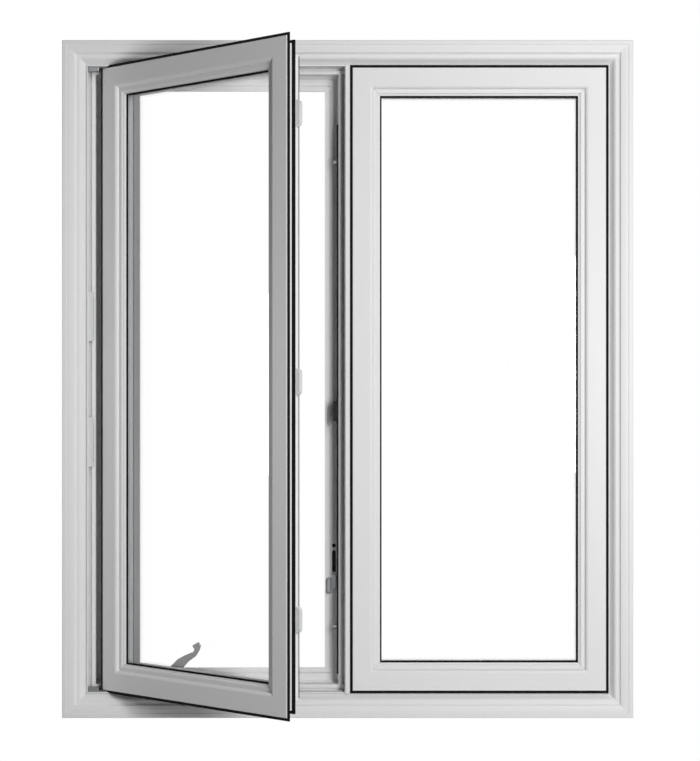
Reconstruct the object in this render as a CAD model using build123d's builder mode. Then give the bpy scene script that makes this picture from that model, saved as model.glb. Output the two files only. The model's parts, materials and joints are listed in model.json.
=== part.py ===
from build123d import *
import math
import os

os.makedirs("parts", exist_ok=True)

# A double crank-out casement window, seen from outside. X runs to the right, Y into
# the room and Z up. The wall lies behind Y = 0, on which the casing's back rests.

# Whole window
WIDTH = 1220
HEIGHT = 1448
WALL_LAP = 30  # strip of casing that laps the wall all round
FRAME_IN = 83  # the frame's inner face, behind the wall plane

# Casing moulding: distances in from the outer edge, and heights in front of the wall
FASCIA_W, FASCIA_H = 9, 30
QUIRK_W, QUIRK_D = 1.2, 1.4
RAMP_END = 17.5
BAND_END, BAND_H = 26, 26.5
OGEE_END, OGEE_H = 31, 21
NOSE_END = 35.5
LIP_END, LIP_H = 42, 14
CASING_R = 2

# Frame rebates behind the casing, again in from the outer edge
SLOPE_END_H = 5  # the lip slopes on down to the seal's own small lip
SEAL_LIP_W = 2.5
OUTER_WALL = 52  # side of the outer chamber, which holds the hinges
SHOULDER_Y = 16.5  # face of the rib that the sash's middle seal meets
RIB_FROM, RIB_H = 57.5, 7
INNER_WALL = 65  # side of the inner chamber, which holds lock and operator
INNER_FLAT_Y = 46
STOP_EDGE, STOP_Y = 70, 54
GROOVE_FROM, GROOVE_W, GROOVE_D = 83, 3, 4
STOP_IN = 95.5
STOP_T = 6
ROOM_BACK = 5.5  # how far the room side falls back behind the stop

# Sash: distances in from its face edge, and depths behind its face
FACE_EDGE = 56  # from the window's outer edge to the sash's face edge
FACE_H = 14  # the closed face stands this far in front of the wall plane
MULLION_HALF = 10.7  # from the window's middle to a sash's face edge
FACE_R = 1.2
FLANGE_T, FLANGE_EASE = 7, 2
BODY_SIDE = 11
BODY_D = 30
BACK_SIDE = 26.5
BACK_FROM = 33
SASH_T = 65
BACK_EASE = 2.5
COVE_FROM, COVE_TO, COVE_D = 37, 45, 7
BEAD_FLAT, BEAD_SLOPE, BEAD_TO, BEAD_STEP = 53.3, 56, 58.7, 3
REBATE_BACK = 41
UPSTAND = 59
ROOM_BEVEL_S, ROOM_BEVEL_D = 7, 9
MITRE_GAP = 0.3

# Seals and sealed glass unit
SEAL_W, SEAL_T = 5.7, 2.4
SEAL_CLEAR = 0.3
MIDDLE_SEAL_W, MIDDLE_SEAL_T = 6.5, 4.2
INNER_SEAL_W, INNER_SEAL_T = 5, 2.7
GASKET_SIGHT = 62.2  # the glass shows inside this
GASKET_T = 2
PANE_T, UNIT_T = 3, 23
GLASS_EDGE = 49
SPACER_W = 8

# Hinge linkage, in the outer chamber at sill and head
SASH_ANGLE = 41.2
PIVOT_A, PIVOT_B = 15, 17  # shoe pivot on the sash: along from its edge, behind its face
SASH_LINK = 89  # from the shoe pivot to the joint between the two arms
SUPPORT_LINK = 150  # from that joint to the fixed pivot
ARM_W, ARM_T = 15, 3
TRACK_W, TRACK_T = 18, 2.3
TRACK_SLOT_W, TRACK_SLOT_D = 8, 1.3
TRACK_TAIL = 22
TRACK_END = 24
TRACK_END_H = 10
SASH_ARM_TAIL = 130
SHOE_L, SHOE_R = 30, 7.5
POST_R = 3
BOSS_R = 7
RUN_CLEAR = 0.3
SCREW_R, SCREW_HEAD_R, SCREW_HEAD_T = 2.1, 4, 1.6

# Snubbers on the hinge jamb
SNUBBER_L, SNUBBER_W, SNUBBER_T = 107, 15, 10.5
SNUBBER_PITCH = 271
SNUBBER_EASE = 2.5

# Multi-point lock: keepers on the sash, tie bar and rollers on the mullion
KEEPER_L, KEEPER_T, KEEPER_W = 52.5, 13, 24
KEEPER_B = 36  # front of the keepers, behind the sash's face
KEEPER_BASE_T, KEEPER_LIP = 3, 9
TOP_KEEPER_DOWN, LOW_KEEPER_UP, MIDDLE_KEEPER = 200, 242, -9.5
KEEPER_HEIGHTS = (HEIGHT / 2 - TOP_KEEPER_DOWN, MIDDLE_KEEPER, LOW_KEEPER_UP - HEIGHT / 2)
ROLLER_DROP = 54  # unlocked, each roller waits this far below its keeper
ROLLER_R, ROLLER_L = 5, 8
TIE_W, TIE_T = 16, 4
TIE_DOWN, TIE_UP = 172, 86  # ends of the tie bar, from the window's top and bottom
TIE_TOP, TIE_BOTTOM = HEIGHT / 2 - TIE_DOWN, TIE_UP - HEIGHT / 2
GUIDE_L, GUIDE_W, GUIDE_T, GUIDE_DROP = 43, 24, 11.5, 59.5
LOCK_UP = 314
LOCK_Z = LOCK_UP - HEIGHT / 2
LOCK_X = -30  # middle of the slot, on the mullion's stop
LOCK_POCKET = 7
LOCK_PLATE_T = 2
LOCK_HOLE_R, LOCK_HOLE_RISE = 4.2, 48
LOCK_SLOT_L, LOCK_SLOT_W, LOCK_SLOT_RISE = 48, 8, 14
LINK_L, LINK_W, LINK_T, LINK_DROP = 30, 7, 2.5, 30
BUMP_L, BUMP_W, BUMP_T = 33, 10, 6
BUMP_OUT, BUMP_DROP = 11, 39
STRIKE_L, STRIKE_W, STRIKE_T = 43, 7.5, 2.5
STRIKE_X, STRIKE_DROP = -40, 79
ESCUTCHEON_L, ESCUTCHEON_W, ESCUTCHEON_T = 120, 24, 8
LEVER_L, LEVER_W, LEVER_T = 95, 13, 9

# Crank operator on the sill
CRANK_IN = 215
CRANK_X = CRANK_IN - WIDTH / 2
GEAR_L, GEAR_W, GEAR_T = 118, 25, 4.5
OPERATOR_SLIDE_A = 200  # where the arm's slider stands along the sash
SLIDE_B = 47
SLIDE_L, SLIDE_W, SLIDE_T = 170, 18, 5
SLIDE_TAIL = 30
COVER_L, COVER_D, COVER_H = 112, 30, 46
COVER_TOP = 86  # from the window's bottom edge, just out of sight behind the stop
CRANK_T = 8
HUB_R, HUB_L = 11, 13
CRANK_STATIONS = ((0, 0, 10), (26, 25, 11), (39, 35.5, 8), (57, 45.5, 5.5), (65, 58, 5))  # run, rise, radius
CRANK_EASE = 1.5
KNOB_R, KNOB_L, KNOB_TILT = 8.5, 12, -28

# Screws through the jambs into the wall
FIX_R = 2.6
FIX_Y = 31
FIX_IN = 174
FIX_PITCH = HEIGHT - 2 * FIX_IN

BOTTOM = -WALL_LAP / 2
MIDDLE = BOTTOM + HEIGHT / 2
SASH_W = WIDTH / 2 - FACE_EDGE - MULLION_HALF
SASH_H = HEIGHT - 2 * FACE_EDGE
SASH_Z = BOTTOM + FACE_EDGE
MIRROR_PLANE = Plane.XY.offset(MIDDLE)
SEAL_LIP_H = FACE_H - FACE_R - SEAL_T - SEAL_CLEAR  # the shut sash's seal just meets it
GLASS_D = REBATE_BACK - UNIT_T  # outer face of the glass, behind the sash's face
TO_MULLION = FACE_EDGE - MULLION_HALF  # turns a frame distance into one from mid-width


def write(builder, name):
    builder.part.label = name
    export_step(builder.part, f"parts/{name}.step")


def side_planes(base, width, height):
    """Sketch planes for four bars round a rectangle: x inwards, y into the room, z along."""
    up, across = base.z_dir, base.x_dir
    return {
        "left": Plane(base.origin, across, up),
        "top": Plane(base.from_local_coords((0, 0, height)), up * -1, across),
        "right": Plane(base.from_local_coords((width, 0, height)), across * -1, up * -1),
        "bottom": Plane(base.from_local_coords((width, 0, 0)), up, across * -1),
    }


def mitred_bar(section, plane, length, gap=0.0):
    """One bar of a four-sided frame, its ends cut at 45 degrees."""
    along, inwards = plane.z_dir, plane.x_dir
    with BuildPart() as bar:
        with BuildSketch(plane):
            add(section)
        extrude(amount=length)
        start = plane.origin + along * (gap * math.sqrt(0.5))
        end = plane.origin + along * (length - gap * math.sqrt(0.5))
        split(bisect_by=Plane(start, plane.y_dir, along - inwards), keep=Keep.TOP)
        split(bisect_by=Plane(end, plane.y_dir, (along + inwards) * -1), keep=Keep.TOP)
    return bar


def face_plane(base, along, depth, up):
    """Sketch plane parallel to a sash's face, x along it, y up and z outwards."""
    return Plane(base.from_local_coords((along, depth, up)), base.x_dir, base.y_dir * -1)


def flat_ring(base, outer, inner, depth, thickness):
    """Square-section ring round a sash, between two distances in from its face edge."""
    with BuildPart() as ring:
        with BuildSketch(face_plane(base, SASH_W / 2, depth, SASH_H / 2)):
            Rectangle(SASH_W - 2 * outer, SASH_H - 2 * outer)
            Rectangle(SASH_W - 2 * inner, SASH_H - 2 * inner, mode=Mode.SUBTRACT)
        extrude(amount=-thickness)
    return ring


# Section of the frame with its casing, from the outer edge inwards
with BuildSketch() as frame_section:
    with BuildLine():
        front = Polyline(
            (0, 0),
            (0, -FASCIA_H),
            (FASCIA_W, -FASCIA_H),
            (FASCIA_W + QUIRK_W, -FASCIA_H + QUIRK_D),
            (RAMP_END, -FASCIA_H + QUIRK_D),
            (BAND_END, -BAND_H),
        )
        ogee = RadiusArc(front @ 1, (OGEE_END, -OGEE_H), OGEE_END - BAND_END + QUIRK_W)
        nose = Line(ogee @ 1, (NOSE_END, -OGEE_H))
        lip = RadiusArc(nose @ 1, (LIP_END, -LIP_H), -(LIP_END - NOSE_END) * 2)
        Polyline(
            lip @ 1,
            (OUTER_WALL - SEAL_LIP_W, -SLOPE_END_H),
            (OUTER_WALL - SEAL_LIP_W, -SEAL_LIP_H),
            (OUTER_WALL, -SEAL_LIP_H),
            (OUTER_WALL, SHOULDER_Y + RIB_H),
            (RIB_FROM, SHOULDER_Y + RIB_H),
            (RIB_FROM, SHOULDER_Y),
            (INNER_WALL, SHOULDER_Y),
            (INNER_WALL, INNER_FLAT_Y),
            (STOP_EDGE, STOP_Y),
            (GROOVE_FROM, STOP_Y),
            (GROOVE_FROM, STOP_Y + GROOVE_D),
            (GROOVE_FROM + GROOVE_W, STOP_Y + GROOVE_D),
            (GROOVE_FROM + GROOVE_W, STOP_Y),
            (STOP_IN, STOP_Y),
            (STOP_IN, STOP_Y + STOP_T),
            (STOP_IN - ROOM_BACK, STOP_Y + STOP_T + ROOM_BACK),
            (STOP_IN - ROOM_BACK, FRAME_IN),
            (WALL_LAP, FRAME_IN),
            (WALL_LAP, 0),
            front @ 0,
        )
    make_face()
    fillet(frame_section.vertices().group_by(Axis.Y)[0].sort_by(Axis.X)[0], CASING_R)

frame_base = Plane((-WIDTH / 2, 0, BOTTOM), (1, 0, 0), (0, 0, 1))
frame_planes = side_planes(frame_base, WIDTH, HEIGHT)
head = mitred_bar(frame_section.sketch, frame_planes["top"], WIDTH)
sill = mitred_bar(frame_section.sketch, frame_planes["bottom"], WIDTH)


def jamb(side):
    """An upright of the frame, with screw holes through it into the wall."""
    bar = mitred_bar(frame_section.sketch, frame_planes[side], HEIGHT)
    inwards = frame_planes[side].x_dir
    inner_face = Vector(inwards.X * (INNER_WALL - WIDTH / 2), FIX_Y, MIDDLE)
    with BuildPart() as drilled:
        add(bar.part)
        with Locations(Plane(inner_face, (0, 0, 1), inwards)):
            with GridLocations(FIX_PITCH, 0, 2, 1):
                CounterSinkHole(FIX_R, FIX_R * 2, counter_sink_angle=90)
    return drilled


jamb_left = jamb("left")
jamb_right = jamb("right")

# Half of the mullion's section, from mid-width out; it repeats the frame's rebates
with BuildSketch() as mullion_section:
    with BuildLine():
        Polyline(
            (0, FRAME_IN),
            (0, -FACE_H),
            (MULLION_HALF - SEAL_W - SEAL_CLEAR, -FACE_H),
            (MULLION_HALF - SEAL_W - SEAL_CLEAR, -SEAL_LIP_H),
            (OUTER_WALL - TO_MULLION, -SEAL_LIP_H),
            (OUTER_WALL - TO_MULLION, SHOULDER_Y + RIB_H),
            (RIB_FROM - TO_MULLION, SHOULDER_Y + RIB_H),
            (RIB_FROM - TO_MULLION, SHOULDER_Y),
            (INNER_WALL - TO_MULLION, SHOULDER_Y),
            (INNER_WALL - TO_MULLION, INNER_FLAT_Y),
            (STOP_EDGE - TO_MULLION, STOP_Y),
            (GROOVE_FROM - TO_MULLION, STOP_Y),
            (GROOVE_FROM - TO_MULLION, STOP_Y + GROOVE_D),
            (GROOVE_FROM - TO_MULLION + GROOVE_W, STOP_Y + GROOVE_D),
            (GROOVE_FROM - TO_MULLION + GROOVE_W, STOP_Y),
            (STOP_IN - TO_MULLION, STOP_Y),
            (STOP_IN - TO_MULLION, STOP_Y + STOP_T),
            (STOP_IN - TO_MULLION - ROOM_BACK, STOP_Y + STOP_T + ROOM_BACK),
            (STOP_IN - TO_MULLION - ROOM_BACK, FRAME_IN),
            close=True,
        )
    make_face()
    mirror(about=Plane.YZ)

# The mullion's ends are coped to the head and the sill
mullion_foot = BOTTOM + OUTER_WALL - SEAL_LIP_W
with BuildPart() as coped:
    with BuildSketch(Plane.XY.offset(mullion_foot)):
        add(mullion_section.sketch)
    extrude(amount=2 * (MIDDLE - mullion_foot))
    add(head.part, mode=Mode.SUBTRACT)
    add(sill.part, mode=Mode.SUBTRACT)
pocket_plane = Plane((LOCK_X, STOP_Y, MIDDLE + LOCK_Z), (1, 0, 0), (0, -1, 0))


def lock_holes():
    """Outline of the pocket that shows the lock: a round hole over a slot."""
    with Locations((0, LOCK_HOLE_RISE)):
        Circle(LOCK_HOLE_R)
    with Locations((0, LOCK_SLOT_RISE)):
        SlotOverall(LOCK_SLOT_L, LOCK_SLOT_W, rotation=90)


with BuildPart() as mullion:
    add(coped.solids().sort_by(SortBy.VOLUME)[-1])
    with BuildSketch(pocket_plane):
        lock_holes()
    extrude(amount=-LOCK_POCKET, mode=Mode.SUBTRACT)

write(head, "frame_head")
write(sill, "frame_sill")
write(jamb_left, "frame_jamb_left")
write(jamb_right, "frame_jamb_right")
write(mullion, "mullion")

# Section of a sash bar, from its face edge in towards the glass
with BuildSketch() as sash_section:
    with BuildLine():
        face = Line((0, 0), (COVE_FROM, 0))
        cove = RadiusArc(face @ 1, (COVE_TO, COVE_D), COVE_FROM - COVE_TO)
        Polyline(
            cove @ 1,
            (COVE_TO, REBATE_BACK),
            (UPSTAND, REBATE_BACK),
            (UPSTAND, SASH_T - ROOM_BEVEL_D),
            (UPSTAND - ROOM_BEVEL_S, SASH_T),
            (BACK_SIDE + BACK_EASE, SASH_T),
            (BACK_SIDE, SASH_T - BACK_EASE),
            (BACK_SIDE, BACK_FROM),
            (BODY_SIDE, BODY_D),
            (BODY_SIDE, FLANGE_T),
            (FLANGE_EASE, FLANGE_T),
            (0, FLANGE_T - FLANGE_EASE),
            face @ 0,
        )
    make_face()
    fillet(sash_section.vertices().sort_by_distance((0, 0))[0], FACE_R)

# Section of the bead that clips in front of the glass
with BuildSketch() as bead_section:
    with BuildLine():
        Polyline(
            (COVE_TO, COVE_D),
            (BEAD_FLAT, COVE_D),
            (BEAD_SLOPE, COVE_D + BEAD_STEP),
            (BEAD_TO, COVE_D + BEAD_STEP),
            (BEAD_TO, GLASS_D - GASKET_T),
            (COVE_TO, GLASS_D - GASKET_T),
            close=True,
        )
    make_face()


def notch_seal(ring, base, start, cuts, depth, thickness):
    """Cuts a seal back at the two hinge corners, where its sash swings into the frame."""
    with BuildPart() as seal:
        add(ring.part)
        with BuildSketch(face_plane(base, start, depth, SASH_H / 2)):
            for reach, width in cuts:
                with Locations(((reach - start) / 2, 0)):
                    with GridLocations(0, SASH_H - 2 * start - width, 1, 2):
                        Rectangle(reach - start, width)
        extrude(amount=-thickness, mode=Mode.SUBTRACT)
    return seal


def clear_from(depth, y):
    """Distance along the open sash past which this depth of it stands in front of y."""
    return (open_y + depth * math.cos(turn) - y) / math.sin(turn)


def make_sash(prefix, base, left_name, right_name, notched=False):
    """Writes one glazed sash: four bars, beads, seals and a sealed unit of two panes."""
    planes = side_planes(base, SASH_W, SASH_H)
    lengths = {"left": SASH_H, "top": SASH_W, "right": SASH_H, "bottom": SASH_W}
    names = {"left": left_name, "top": "top_rail", "right": right_name, "bottom": "bottom_rail"}
    for side, plane in planes.items():
        bar = mitred_bar(sash_section.sketch, plane, lengths[side])
        write(bar, f"{prefix}_{names[side]}")

    mitred = [mitred_bar(bead_section.sketch, planes[p], lengths[p], MITRE_GAP) for p in planes]
    with BuildPart() as beads:
        add([bar.part for bar in mitred])
    write(beads, f"{prefix}_glazing_beads")

    face_seal = flat_ring(base, -SEAL_W, 0, FACE_R, SEAL_T)
    middle_s, middle_d = BODY_SIDE - MIDDLE_SEAL_W, BODY_D + SEAL_CLEAR / 2 - MIDDLE_SEAL_T
    middle_seal = flat_ring(base, middle_s, BODY_SIDE, middle_d, MIDDLE_SEAL_T)
    if notched:
        seal_back = FACE_R + SEAL_T
        over_lip = SEAL_W - (FACE_EDGE - OUTER_WALL) + SEAL_CLEAR
        cuts = (
            (clear_from(seal_back, track_y - TRACK_W / 2), SEAL_W),
            (clear_from(seal_back, -SEAL_LIP_H), over_lip),
        )
        face_seal = notch_seal(face_seal, base, -SEAL_W, cuts, FACE_R, SEAL_T)
        cuts = ((clear_from(middle_d + MIDDLE_SEAL_T, SHOULDER_Y), MIDDLE_SEAL_W),)
        middle_seal = notch_seal(middle_seal, base, middle_s, cuts, middle_d, MIDDLE_SEAL_T)
    write(face_seal, f"{prefix}_face_seal")
    write(middle_seal, f"{prefix}_middle_seal")
    inner_seal = flat_ring(
        base,
        BACK_SIDE + BACK_EASE,
        BACK_SIDE + BACK_EASE + INNER_SEAL_W,
        SASH_T,
        INNER_SEAL_T,
    )
    write(inner_seal, f"{prefix}_inner_seal")

    gasket = flat_ring(base, GLASS_EDGE, GASKET_SIGHT, GLASS_D - GASKET_T, GASKET_T)
    write(gasket, f"{prefix}_glazing_gasket")
    spacer = flat_ring(
        base, GLASS_EDGE, GLASS_EDGE + SPACER_W, GLASS_D + PANE_T, UNIT_T - 2 * PANE_T
    )
    write(spacer, f"{prefix}_glass_spacer")
    for name, depth in (("outer_pane", GLASS_D), ("inner_pane", REBATE_BACK - PANE_T)):
        with BuildPart() as pane:
            with BuildSketch(face_plane(base, SASH_W / 2, depth, SASH_H / 2)):
                Rectangle(SASH_W - 2 * GLASS_EDGE, SASH_H - 2 * GLASS_EDGE)
            extrude(amount=-PANE_T)
        write(pane, f"{prefix}_{name}")


# The closed sash on the right, and the open one, whose place follows from the linkage:
# the shoe runs along the track and the support arm swings about its fixed pivot
closed_base = Plane((MULLION_HALF, -FACE_H, SASH_Z), (1, 0, 0), (0, 0, 1))
turn = math.radians(SASH_ANGLE)
shut_corner = FACE_EDGE - WIDTH / 2
track_y = PIVOT_B - FACE_H
fixed_x = shut_corner + PIVOT_A + SASH_LINK + SUPPORT_LINK
joint_reach = math.sqrt(SUPPORT_LINK**2 - (SASH_LINK * math.sin(turn)) ** 2)
shoe_x = fixed_x - SASH_LINK * math.cos(turn) - joint_reach
open_x = shoe_x - PIVOT_A * math.cos(turn) - PIVOT_B * math.sin(turn)
open_y = track_y + PIVOT_A * math.sin(turn) - PIVOT_B * math.cos(turn)
open_base = Plane((open_x, open_y, SASH_Z), (math.cos(turn), -math.sin(turn), 0), (0, 0, 1))

make_sash("left_sash", open_base, "hinge_stile", "lock_stile", notched=True)
make_sash("right_sash", closed_base, "mullion_stile", "jamb_stile")

# Hinge tracks at sill and head: channel, end block and the support arm's fixed post
track_z = BOTTOM + OUTER_WALL
arm_z = SASH_Z + BODY_SIDE - ARM_T  # the sash arm lies under the sash's body
support_z = SASH_Z + BODY_SIDE - MIDDLE_SEAL_W - RUN_CLEAR - ARM_T  # passes under the seal
track_start = OUTER_WALL - WIDTH / 2
track_end = fixed_x + TRACK_TAIL
with BuildPart() as hinge_tracks:
    with BuildSketch(Plane.XY.offset(track_z)):
        with Locations(((track_start + track_end) / 2, track_y)):
            Rectangle(track_end - track_start, TRACK_W)
    extrude(amount=TRACK_T)
    with BuildSketch(Plane.XY.offset(track_z + TRACK_T)):
        with Locations(((track_start + fixed_x - BOSS_R * 2) / 2, track_y)):
            Rectangle(fixed_x - BOSS_R * 2 - track_start, TRACK_SLOT_W)
    extrude(amount=-TRACK_SLOT_D, mode=Mode.SUBTRACT)
    with BuildSketch(Plane.XY.offset(track_z)):
        with Locations((track_start + TRACK_END / 2, track_y)):
            RectangleRounded(TRACK_END, TRACK_W, 2)
    extrude(amount=TRACK_END_H)
    with BuildSketch(Plane.XY.offset(track_z + TRACK_T)):
        with Locations((fixed_x, track_y)):
            Circle(BOSS_R)
    extrude(amount=support_z - track_z - TRACK_T)
    with BuildSketch(Plane.XY.offset(support_z)):
        with Locations((fixed_x, track_y)):
            Circle(POST_R)
    extrude(amount=ARM_T)
    mirror(about=MIRROR_PLANE)
write(hinge_tracks, "hinge_tracks")

joint_x = shoe_x + SASH_LINK * math.cos(turn)
joint_y = track_y - SASH_LINK * math.sin(turn)
support_angle = math.degrees(math.asin(SASH_LINK * math.sin(turn) / SUPPORT_LINK))

with BuildPart() as hinge_shoes:
    with BuildSketch(Plane.XY.offset(track_z + TRACK_T)):
        with Locations((shoe_x, track_y)):
            Circle(SHOE_R)
    extrude(amount=arm_z - track_z - TRACK_T)
    with BuildSketch(Plane.XY.offset(track_z + TRACK_T)):
        with Locations((shoe_x, track_y)):
            Rectangle(SHOE_L, TRACK_SLOT_W - 2 * RUN_CLEAR)
    extrude(amount=RUN_CLEAR - TRACK_SLOT_D)
    with BuildSketch(Plane.XY.offset(arm_z)):
        with Locations((shoe_x, track_y)):
            Circle(POST_R)
    extrude(amount=ARM_T)
    mirror(about=MIRROR_PLANE)
write(hinge_shoes, "hinge_shoes")

with BuildPart() as support_arms:
    arm_plane = Plane((fixed_x, track_y, support_z)).rotated((0, 0, 180 + support_angle))
    with BuildSketch(arm_plane):
        with Locations((SUPPORT_LINK / 2, 0)):
            SlotCenterToCenter(SUPPORT_LINK, ARM_W)
        Circle(POST_R + RUN_CLEAR, mode=Mode.SUBTRACT)
    extrude(amount=ARM_T)
    with BuildSketch(Plane.XY.offset(support_z + ARM_T)):
        with Locations((joint_x, joint_y)):
            Circle(BOSS_R)
    extrude(amount=arm_z - support_z - ARM_T)
    with BuildSketch(Plane.XY.offset(arm_z)):
        with Locations((joint_x, joint_y)):
            Circle(POST_R)
    extrude(amount=ARM_T)
    mirror(about=MIRROR_PLANE)
write(support_arms, "hinge_support_arms")

sash_arm_l = SASH_LINK + SASH_ARM_TAIL
with BuildPart() as sash_arms:
    arm_plane = Plane((shoe_x, track_y, arm_z)).rotated((0, 0, -SASH_ANGLE))
    with BuildSketch(arm_plane):
        with Locations((sash_arm_l / 2, 0)):
            SlotCenterToCenter(sash_arm_l, ARM_W)
        with Locations((0, 0), (SASH_LINK, 0)):
            Circle(POST_R + RUN_CLEAR, mode=Mode.SUBTRACT)
        with Locations((SASH_LINK / 2, 0), (sash_arm_l, 0)):
            Circle(SCREW_R, mode=Mode.SUBTRACT)
    extrude(amount=ARM_T)
    mirror(about=MIRROR_PLANE)
write(sash_arms, "hinge_sash_arms")

# Snubber blocks on the hinge jamb, which pull the shut sash tight at mid-height
snubber_x = OUTER_WALL - WIDTH / 2
with BuildPart() as snubbers:
    with BuildSketch(Plane((snubber_x, track_y + SCREW_R, MIDDLE), (0, 1, 0), (1, 0, 0))):
        with GridLocations(0, SNUBBER_PITCH, 1, 2):
            Rectangle(SNUBBER_W, SNUBBER_L)
    extrude(amount=SNUBBER_T)
    chamfer(snubbers.faces().group_by(Axis.X)[-1].edges().filter_by(Axis.Y), SNUBBER_EASE)
    with Locations(Plane((snubber_x + SNUBBER_T, track_y + SCREW_R, MIDDLE), (0, 1, 0), (1, 0, 0))):
        with GridLocations(0, SNUBBER_PITCH, 1, 2):
            with GridLocations(0, SNUBBER_L - 4 * SCREW_HEAD_R, 1, 2):
                CounterBoreHole(SCREW_R, SCREW_HEAD_R, SCREW_HEAD_T * 2, SNUBBER_T)
write(snubbers, "snubbers")

# Keepers on the lock stile: a base plate with a round-nosed lip for the roller to draw in
lock_y = (SHOULDER_Y + INNER_FLAT_Y) / 2
keeper_a = SASH_W - BACK_SIDE
with BuildPart() as keepers:
    for height in KEEPER_HEIGHTS:
        keeper_plane = face_plane(open_base, keeper_a, KEEPER_B, MIDDLE - SASH_Z + height)
        with BuildSketch(keeper_plane):
            with Locations((KEEPER_BASE_T / 2, 0)):
                Rectangle(KEEPER_BASE_T, KEEPER_L)
        extrude(amount=-KEEPER_W)
        with BuildSketch(keeper_plane.offset(KEEPER_LIP - KEEPER_W)) as nose:
            with Locations((KEEPER_T / 2, 0)):
                Rectangle(KEEPER_T, KEEPER_L)
            fillet(nose.vertices().group_by(Axis.X)[-1], KEEPER_T - KEEPER_BASE_T)
        extrude(amount=-KEEPER_LIP)
write(keepers, "lock_keepers")

# Tie bar on the mullion with its rollers, shown in their unlocked place
bar_x = TO_MULLION - INNER_WALL
bar_plane = Plane((bar_x, lock_y, MIDDLE), (0, -1, 0), (-1, 0, 0))
with BuildPart() as tie_bar:
    with BuildSketch(bar_plane):
        with Locations((0, (TIE_TOP + TIE_BOTTOM) / 2)):
            RectangleRounded(TIE_W, TIE_TOP - TIE_BOTTOM, TIE_W / 4)
    extrude(amount=TIE_T)
write(tie_bar, "lock_tie_bar")

roller_plane = bar_plane.offset(TIE_T)
with BuildPart() as rollers:
    with BuildSketch(roller_plane):
        with Locations(*[(0, height - ROLLER_DROP) for height in KEEPER_HEIGHTS]):
            Circle(ROLLER_R)
    extrude(amount=ROLLER_L)
    chamfer(rollers.faces().group_by(Axis.X)[0].edges(), RUN_CLEAR * 2)
write(rollers, "lock_rollers")

# Slotted guide over the tie bar at mid-height; the middle roller runs in its slot
with BuildPart() as guide:
    with BuildSketch(bar_plane):
        with Locations((0, MIDDLE_KEEPER - GUIDE_DROP)):
            RectangleRounded(GUIDE_W, GUIDE_L, 2)
    extrude(amount=GUIDE_T)
    with BuildSketch(bar_plane):
        with Locations((0, MIDDLE_KEEPER - GUIDE_DROP)):
            Rectangle(TIE_W + 2 * RUN_CLEAR, GUIDE_L)
    extrude(amount=TIE_T + RUN_CLEAR, mode=Mode.SUBTRACT)
    with BuildSketch(bar_plane):
        with Locations((0, MIDDLE_KEEPER - GUIDE_DROP)):
            SlotOverall(GUIDE_L - GUIDE_W / 2, 2 * (ROLLER_R + RUN_CLEAR), rotation=90)
    extrude(amount=GUIDE_T, mode=Mode.SUBTRACT)
write(guide, "tie_bar_guides")

# Lock plate at the bottom of its pocket in the mullion, with its link and stop block
with BuildPart() as lock_plate:
    with BuildSketch(pocket_plane.offset(-LOCK_POCKET)):
        lock_holes()
    extrude(amount=LOCK_PLATE_T)
write(lock_plate, "lock_plate")

with BuildPart() as lock_link:
    with BuildSketch(pocket_plane):
        with Locations((0, -LINK_DROP)):
            SlotOverall(LINK_L, LINK_W, rotation=90)
    extrude(amount=LINK_T)
    with BuildSketch(pocket_plane.offset(LINK_T)):
        with Locations((0, -LINK_DROP)):
            with GridLocations(0, LINK_L / 2, 1, 2):
                Circle(LINK_W / 3)
    extrude(amount=LINK_T)
write(lock_link, "lock_link")

with BuildPart() as lock_blocks:
    with BuildSketch(pocket_plane):
        with Locations((-BUMP_OUT, -BUMP_DROP)):
            RectangleRounded(BUMP_W, BUMP_L, BUMP_W / 4)
    extrude(amount=BUMP_T)
    chamfer(lock_blocks.faces().sort_by(Axis.Y)[0].edges(), BUMP_T / 4)
    with BuildSketch(Plane((STRIKE_X, STOP_Y, MIDDLE - STRIKE_DROP), (1, 0, 0), (0, -1, 0))):
        RectangleRounded(STRIKE_W, STRIKE_L, STRIKE_T / 2)
    extrude(amount=STRIKE_T)
write(lock_blocks, "lock_stop_blocks")

handle_x = (bar_x - (STOP_IN - ROOM_BACK - TO_MULLION)) / 2
with BuildPart() as escutcheon:
    with BuildSketch(Plane((handle_x, FRAME_IN, MIDDLE + LOCK_Z), (-1, 0, 0), (0, 1, 0))):
        SlotOverall(ESCUTCHEON_L, ESCUTCHEON_W, rotation=90)
    extrude(amount=ESCUTCHEON_T)
    chamfer(escutcheon.faces().sort_by(Axis.Y)[-1].edges(), ESCUTCHEON_T / 4)
write(escutcheon, "lock_escutcheon")

lever_y = FRAME_IN + ESCUTCHEON_T
with BuildPart() as lever:
    with BuildSketch(Plane((handle_x, lever_y, MIDDLE + LOCK_Z), (-1, 0, 0), (0, 1, 0))):
        Circle(LEVER_W / 2)
    extrude(amount=LEVER_T / 2)
    with BuildSketch(Plane((handle_x, lever_y + LEVER_T / 2, MIDDLE + LOCK_Z), (-1, 0, 0), (0, 1, 0))):
        Circle(LEVER_W / 2)
        with Locations((0, -LEVER_L)):
            Circle(LEVER_W / 3)
        make_hull()
    extrude(amount=LEVER_T)
    chamfer(lever.faces().sort_by(Axis.Y)[-1].edges(), LEVER_T / 4)
write(lever, "lock_lever")

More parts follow.
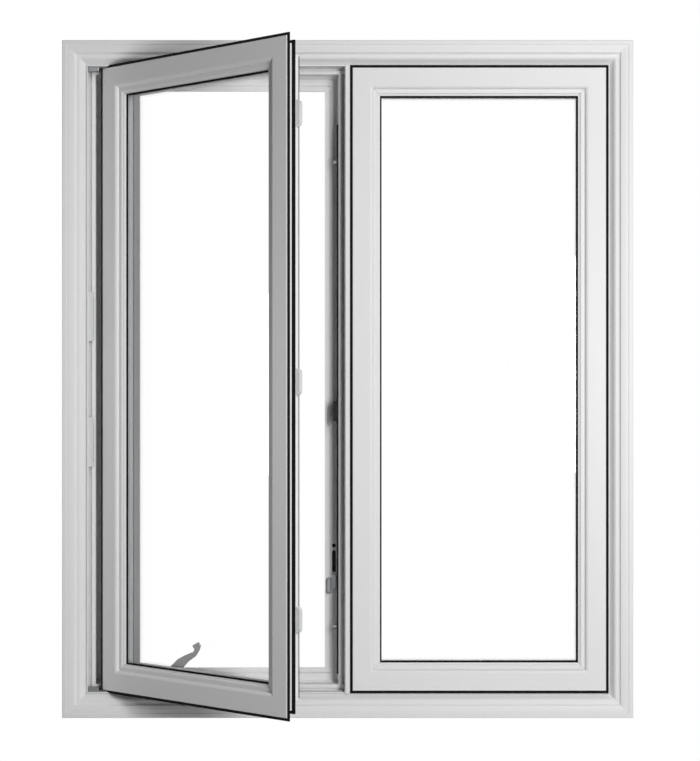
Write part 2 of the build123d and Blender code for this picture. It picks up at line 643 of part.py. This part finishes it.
# Crank operator: gear case on the sill, one arm, and the sash track its slider runs in
gear_z = BOTTOM + INNER_WALL
with BuildPart() as gear_case:
    with BuildSketch(Plane.XY.offset(gear_z)):
        with Locations((CRANK_X, lock_y)):
            RectangleRounded(GEAR_L, GEAR_W, 4)
    extrude(amount=GEAR_T)
    with BuildSketch(Plane.XY.offset(gear_z + GEAR_T)):
        with Locations((CRANK_X, lock_y)):
            Circle(BOSS_R)
    extrude(amount=ARM_T)
    with BuildSketch(Plane.XY.offset(gear_z + GEAR_T + ARM_T)):
        with Locations((CRANK_X, lock_y)):
            Circle(POST_R)
    extrude(amount=ARM_T)
write(gear_case, "operator_gear_case")

back_z = SASH_Z + BACK_SIDE
slider = open_base.from_local_coords((OPERATOR_SLIDE_A, SLIDE_B, 0))
operator_l = math.hypot(slider.X - CRANK_X, slider.Y - lock_y)
operator_turn = math.degrees(math.atan2(slider.Y - lock_y, slider.X - CRANK_X))
operator_z = gear_z + GEAR_T + ARM_T
with BuildPart() as operator_arm:
    with BuildSketch(Plane((CRANK_X, lock_y, operator_z)).rotated((0, 0, operator_turn))):
        with Locations((operator_l / 2, 0)):
            SlotCenterToCenter(operator_l, ARM_W)
        Circle(POST_R + RUN_CLEAR, mode=Mode.SUBTRACT)
    extrude(amount=ARM_T)
    with BuildSketch(Plane.XY.offset(operator_z + ARM_T)):
        with Locations((slider.X, slider.Y)):
            Circle(POST_R)
    extrude(amount=back_z - SLIDE_T / 2 - operator_z - ARM_T)
write(operator_arm, "operator_arm")

slide_plane = Plane((slider.X, slider.Y, back_z)).rotated((0, 0, -SASH_ANGLE))
with BuildPart() as sash_slide:
    with BuildSketch(slide_plane):
        with Locations((SLIDE_L / 2 - SLIDE_TAIL, 0)):
            RectangleRounded(SLIDE_L, SLIDE_W, 3)
    extrude(amount=-SLIDE_T)
    with BuildSketch(slide_plane.offset(-SLIDE_T)):
        with Locations((SLIDE_L / 2 - SLIDE_TAIL, 0)):
            SlotOverall(SLIDE_L - SLIDE_TAIL, 2 * (POST_R + RUN_CLEAR))
    extrude(amount=SLIDE_T / 2 + RUN_CLEAR, mode=Mode.SUBTRACT)
write(sash_slide, "operator_sash_slide")

# Cover and crank on the room side, below the sight line over the stop
with BuildPart() as cover:
    with BuildSketch(Plane((CRANK_X, FRAME_IN, BOTTOM + COVER_TOP - COVER_H / 2), (-1, 0, 0), (0, 1, 0))):
        RectangleRounded(COVER_L, COVER_H, COVER_H / 5)
    extrude(amount=COVER_D)
    chamfer(cover.faces().sort_by(Axis.Y)[-1].edges(), COVER_H / 8)
write(cover, "operator_cover")

# Folding crank: a curved lever, thick at the hub and slim at the neck, with a small knob
hub = Vector(CRANK_X, FRAME_IN + COVER_D + HUB_L, BOTTOM + COVER_TOP - COVER_H / 3)
crank_plane = Plane(hub, (1, 0, 0), (0, -1, 0))
with BuildPart() as crank:
    with BuildSketch(crank_plane):
        Circle(HUB_R)
    extrude(amount=HUB_L)
    with BuildSketch(crank_plane):
        for near, far in zip(CRANK_STATIONS, CRANK_STATIONS[1:]):
            make_hull([Edge.make_circle(r, Plane((run, rise))) for run, rise, r in (near, far)])
    extrude(amount=CRANK_T)
    chamfer(crank.faces().sort_by(Axis.Y)[0].edges(), CRANK_EASE)
write(crank, "crank_handle")

# The knob is pushed over the end of the neck
knob_seat = crank_plane.from_local_coords((CRANK_STATIONS[-1][0], CRANK_STATIONS[-1][1], CRANK_T / 2))
with BuildPart() as knob:
    with BuildSketch(Plane(knob_seat).rotated((0, KNOB_TILT, 0))):
        SlotOverall(2 * KNOB_R, CRANK_T)
    extrude(amount=KNOB_L)
    chamfer(knob.faces().sort_by(Axis.Z)[-1].edges(), CRANK_EASE)
    add(crank.part, mode=Mode.SUBTRACT)
write(knob, "crank_knob")
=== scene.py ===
import json
import math

import bpy
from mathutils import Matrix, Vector

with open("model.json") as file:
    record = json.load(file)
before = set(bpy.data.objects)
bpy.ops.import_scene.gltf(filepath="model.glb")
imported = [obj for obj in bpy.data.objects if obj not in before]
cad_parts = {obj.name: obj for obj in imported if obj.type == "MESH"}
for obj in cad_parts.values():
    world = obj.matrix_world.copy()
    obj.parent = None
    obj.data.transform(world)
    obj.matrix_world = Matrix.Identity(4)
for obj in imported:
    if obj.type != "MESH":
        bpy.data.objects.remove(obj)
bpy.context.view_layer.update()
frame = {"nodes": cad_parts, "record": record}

# Camera: level, square to the wall and opposite the middle of the window
EYE = Vector((0.005, -3.90, 0.655))
FOCAL_MM = 85.75
SENSOR_MM = 36
SHIFT_UP = 0.0313


def aim(thing, target):
    """Turns a lamp or the camera to look at a point."""
    thing.rotation_euler = (Vector(target) - thing.location).to_track_quat("-Z", "Y").to_euler()


camera = bpy.data.objects.new("camera", bpy.data.cameras.new("camera"))
bpy.context.collection.objects.link(camera)
camera.location = EYE
aim(camera, EYE + Vector((0, 1, 0)))
camera.data.sensor_fit = "VERTICAL"
camera.data.sensor_height = SENSOR_MM
camera.data.lens = FOCAL_MM
camera.data.shift_y = SHIFT_UP
bpy.context.scene.camera = camera


MM = 0.001
PLASTIC_IOR = 1.53


def srgb(code):
    """Linear colour of an sRGB hex value."""
    parts = [int(code[i : i + 2], 16) / 255 for i in (1, 3, 5)]
    return [c / 12.92 if c <= 0.04045 else ((c + 0.055) / 1.055) ** 2.4 for c in parts] + [1.0]


def node(tree, kind, links=None, **settings):
    """Adds a node: settings are its properties or input values, links its input sockets."""
    made = tree.nodes.new(kind)
    for name, value in settings.items():
        if hasattr(made, name):
            setattr(made, name, value)
        else:
            made.inputs[name.replace("_", " ")].default_value = value
    for name, source in (links or {}).items():
        tree.links.new(source, made.inputs[name])
    return made


def surface(name, colour, rough, metal=0.0, **more):
    """A material with one Principled shader, returned with its tree and shader."""
    made = bpy.data.materials.new(name)
    made.use_nodes = True
    tree = made.node_tree
    shader = tree.nodes["Principled BSDF"]
    shader.inputs["Base Color"].default_value = srgb(colour)
    shader.inputs["Roughness"].default_value = rough
    shader.inputs["Metallic"].default_value = metal
    for socket, value in more.items():
        shader.inputs[socket.replace("_", " ")].default_value = value
    return made, tree, shader


def fine_skin(tree, shader, grain_mm, height_mm, rough_low, rough_high):
    """The slight waviness and uneven gloss that a die or a mould leaves."""
    place = node(tree, "ShaderNodeTexCoord")
    noise = node(
        tree,
        "ShaderNodeTexNoise",
        {"Vector": place.outputs["Object"]},
        Scale=1 / (grain_mm * MM),
        Detail=3.0,
    )
    gloss = node(
        tree,
        "ShaderNodeMapRange",
        {"Value": noise.outputs["Fac"]},
        To_Min=rough_low,
        To_Max=rough_high,
    )
    bump = node(
        tree,
        "ShaderNodeBump",
        {"Height": noise.outputs["Fac"]},
        Distance=height_mm * MM,
        Strength=0.5,
    )
    tree.links.new(gloss.outputs["Result"], shader.inputs["Roughness"])
    tree.links.new(bump.outputs["Normal"], shader.inputs["Normal"])


def extruded_vinyl():
    """White uPVC drawn through a die: satin, with broad faint waves along its faces."""
    made, tree, shader = surface(
        "extruded white uPVC", "#F1F1F1", 0.42, IOR=PLASTIC_IOR, Specular_IOR_Level=0.3
    )
    fine_skin(tree, shader, 60, 0.05, 0.38, 0.48)
    return made


def moulded_nylon():
    """White moulded nylon: a shade greyer and duller than the frame, so keepers show."""
    made, tree, shader = surface("moulded white nylon", "#DEDFDF", 0.45, IOR=PLASTIC_IOR)
    fine_skin(tree, shader, 6, 0.02, 0.4, 0.52)
    return made


def black_nylon():
    """Black moulded nylon: harder than the rubber seals, with a soft satin shine."""
    made, tree, shader = surface(
        "black moulded nylon", "#0E0E0F", 0.5, IOR=PLASTIC_IOR, Specular_IOR_Level=0.18
    )
    fine_skin(tree, shader, 4, 0.02, 0.42, 0.56)
    return made


def black_seal():
    """Black EPDM rubber: dull and near black, with a fine grain. Its reflection is turned well
    down, partly for a dusty skin and partly as painted shade from the parts around it.
    """
    made, tree, shader = surface(
        "black EPDM seal", "#0B0B0C", 0.78, IOR=1.5, Specular_IOR_Level=0.12
    )
    fine_skin(tree, shader, 3, 0.03, 0.62, 0.82)
    return made


def float_glass():
    """Clear float glass: sharp reflections and no tint of its own."""
    return surface("clear float glass", "#FFFFFF", 0.0, Transmission_Weight=1.0, IOR=1.5)[0]


def milled_aluminium():
    """Mill-finish aluminium strip: pale, with soft and slightly uneven reflections."""
    made, tree, shader = surface("mill-finish aluminium", "#C9CBCD", 0.35, 1.0)
    fine_skin(tree, shader, 4, 0.01, 0.3, 0.42)
    return made


def brushed_stainless():
    """Pressed stainless strip: mid grey, with a fine uneven gloss that blurs reflections."""
    made, tree, shader = surface("brushed stainless steel", "#8A8C8E", 0.3, 1.0)
    fine_skin(tree, shader, 2, 0.01, 0.24, 0.4)
    return made


def zinc_casting():
    """Zinc die casting: mid grey and darker than bare zinc, partly its own tone and partly
    painted shade for the recesses it sits in, with a fine dull grain.
    """
    made, tree, shader = surface("zinc die casting", "#8E9092", 0.5, 1.0)
    fine_skin(tree, shader, 1.5, 0.03, 0.45, 0.62)
    return made


def grey_enamel():
    """Grey baked enamel on the crank: smooth, with a soft shine on its round edges."""
    made, tree, shader = surface("grey baked enamel", "#6C6E70", 0.35, Coat_Weight=0.3)
    fine_skin(tree, shader, 3, 0.02, 0.3, 0.42)
    return made


finishes = {
    "white_vinyl": extruded_vinyl(),
    "white_moulding": moulded_nylon(),
    "black_moulding": black_nylon(),
    "black_rubber": black_seal(),
    "clear_glass": float_glass(),
    "spacer_aluminium": milled_aluminium(),
    "stainless_steel": brushed_stainless(),
    "zinc_case": zinc_casting(),
    "grey_painted_metal": grey_enamel(),
}
for part in frame["record"]["subparts"]:
    mesh = frame["nodes"][part["node"]].data
    mesh.materials.clear()
    mesh.materials.append(finishes[part["material_slot"]])

# Drawn and moulded plastic has no knife edge: a fine round on each corner catches the light
# and shows the thin line where two bars meet at a mitre
EDGE_ROUND = 0.5 * MM
CORNER_MERGE = 0.01 * MM
SHARP = math.radians(30)
ROUNDED = ("white_vinyl", "white_moulding")
for part in frame["record"]["subparts"]:
    if part["material_slot"] in ROUNDED:
        piece = frame["nodes"][part["node"]]
        piece.modifiers.new("joined corners", "WELD").merge_threshold = CORNER_MERGE
        edge = piece.modifiers.new("edge round", "BEVEL")
        edge.width = EDGE_ROUND
        edge.segments = 2
        edge.limit_method = "ANGLE"
        edge.angle_limit = SHARP
        piece.modifiers.new("flat faces stay flat", "WEIGHTED_NORMAL").weight = 100


def soft_lamp(name, place, target, size, power):
    """A square soft box aimed at a point."""
    lamp = bpy.data.objects.new(name, bpy.data.lights.new(name, "AREA"))
    bpy.context.collection.objects.link(lamp)
    lamp.location = place
    lamp.data.size = size
    lamp.data.energy = power
    aim(lamp, target)


# Three soft boxes stand one over the other, a little right of the camera. A nearer one gives
# the faces their brighter right side, a small one at the left reaches the open sash, and a
# weak one in the room shows the inner side
WINDOW_MIDDLE = Vector((0, 0, 0.71))
STACK_TURN = math.radians(24)
STACK_REACH = 3.6
STACK = ((2, 15.5), (24, 27.5), (46, 11.5))  # elevation in degrees, watts
STACK_SIZE = 0.9


def on_the_right(reach, rise):
    """A point at a distance from the window's middle, on the soft boxes' bearing."""
    rise = math.radians(rise)
    level = Vector((math.sin(STACK_TURN), -math.cos(STACK_TURN), 0)) * math.cos(rise)
    return WINDOW_MIDDLE + (level + Vector((0, 0, math.sin(rise)))) * reach


for rise, power in STACK:
    soft_lamp("soft box", on_the_right(STACK_REACH, rise), WINDOW_MIDDLE, STACK_SIZE, power)

# Lamps that stand apart: name, place, target, size in metres, watts
SINGLE_LAMPS = (
    ("near soft box", on_the_right(2.1, 2), WINDOW_MIDDLE, 0.7, 14.5),
    ("left soft box", (-1.5, -0.43, 0.71), (-0.4, -0.15, 0.71), 0.5, 2.1),
    ("room soft box", (1.95, 2.05, 1.2), (0, 0.06, 0.71), 1.0, 18),
)
for lamp in SINGLE_LAMPS:
    soft_lamp(*lamp)

# Pale floor below the window
FLOOR_Z, FLOOR_SIDE, FLOOR_FRONT, FLOOR_BACK = -0.5, 3, -4, 1.8
floor_mesh = bpy.data.meshes.new("studio floor")
floor_mesh.from_pydata(
    [
        (-FLOOR_SIDE, FLOOR_FRONT, FLOOR_Z),
        (FLOOR_SIDE, FLOOR_FRONT, FLOOR_Z),
        (FLOOR_SIDE, FLOOR_BACK, FLOOR_Z),
        (-FLOOR_SIDE, FLOOR_BACK, FLOOR_Z),
    ],
    [],
    [(0, 1, 2, 3)],
)
floor = bpy.data.objects.new("studio floor", floor_mesh)
bpy.context.collection.objects.link(floor)
floor_mesh.materials.append(surface("pale floor", "#F4F4F4", 0.9)[0])

# The surround is white to the eye, and nearly dark to light that has left a surface
BEFORE_A_BOUNCE = 0.5
FILL_STRENGTH = 0.01
world = bpy.data.worlds.new("white surround")
world.use_nodes = True
sky = world.node_tree
for old in list(sky.nodes):
    sky.nodes.remove(old)
path = node(sky, "ShaderNodeLightPath")
through = node(
    sky,
    "ShaderNodeMath",
    {0: path.outputs["Is Glossy Ray"], 1: path.outputs["Is Transmission Ray"]},
    operation="MAXIMUM",
)
seen = node(
    sky,
    "ShaderNodeMath",
    {0: path.outputs["Is Camera Ray"], 1: through.outputs[0]},
    operation="MAXIMUM",
)
straight = node(
    sky, "ShaderNodeMath", {0: path.outputs["Diffuse Depth"]}, operation="LESS_THAN"
)
straight.inputs[1].default_value = BEFORE_A_BOUNCE
shown = node(
    sky, "ShaderNodeMath", {0: seen.outputs[0], 1: straight.outputs[0]}, operation="MULTIPLY"
)
dim = node(sky, "ShaderNodeBackground", Color=srgb("#FFFFFF"), Strength=FILL_STRENGTH)
bright = node(sky, "ShaderNodeBackground", Color=srgb("#FFFFFF"), Strength=1.0)
blend = node(
    sky, "ShaderNodeMixShader", {0: shown.outputs[0], 1: dim.outputs[0], 2: bright.outputs[0]}
)
node(sky, "ShaderNodeOutputWorld", {"Surface": blend.outputs[0]})
bpy.context.scene.world = world
bpy.context.scene.view_settings.view_transform = "Standard"
